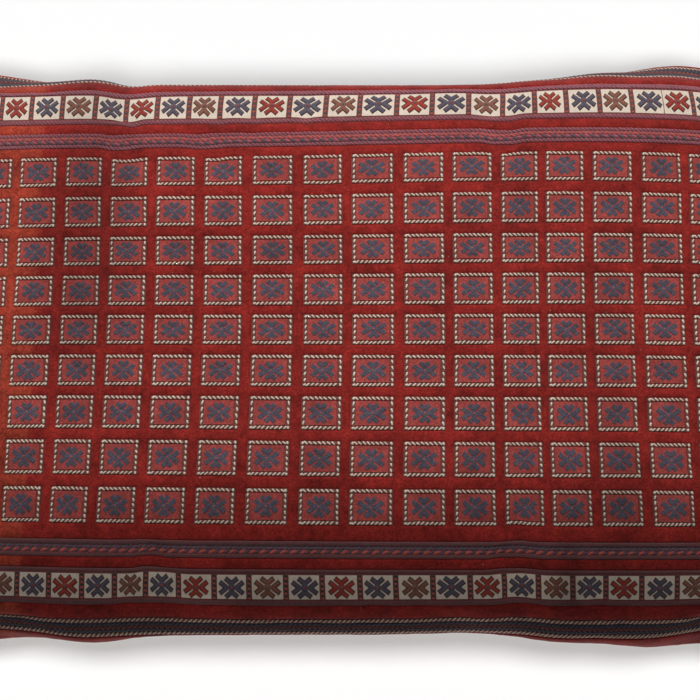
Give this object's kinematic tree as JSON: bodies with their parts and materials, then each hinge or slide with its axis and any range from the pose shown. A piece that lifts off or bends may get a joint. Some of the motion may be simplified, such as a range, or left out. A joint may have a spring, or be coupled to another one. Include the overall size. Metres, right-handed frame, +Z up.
{
  "type": "lumbar pillow",
  "caption": "Oblong filled cushion with a thick hand-woven wool face of bordered rosette squares and a plain cloth back, lying on its back.",
  "frame": {"origin": "on the surface the cushion lies on, under the middle of its outline", "axes": "+X along the cushion's length, +Y towards the far long side (top of the picture), +Z up, out of the woven face"},
  "size_m": [0.744, 0.4949, 0.116],
  "materials": {
    "woven_wool": "short wool pile with flat-woven wrapped patterns",
    "plain_back_cloth": "plain matt cotton weave"
  },
  "bodies": {
    "root": {"woven_face": "woven_wool", "cushion_body": "plain_back_cloth"}
  },
  "joints": []
}
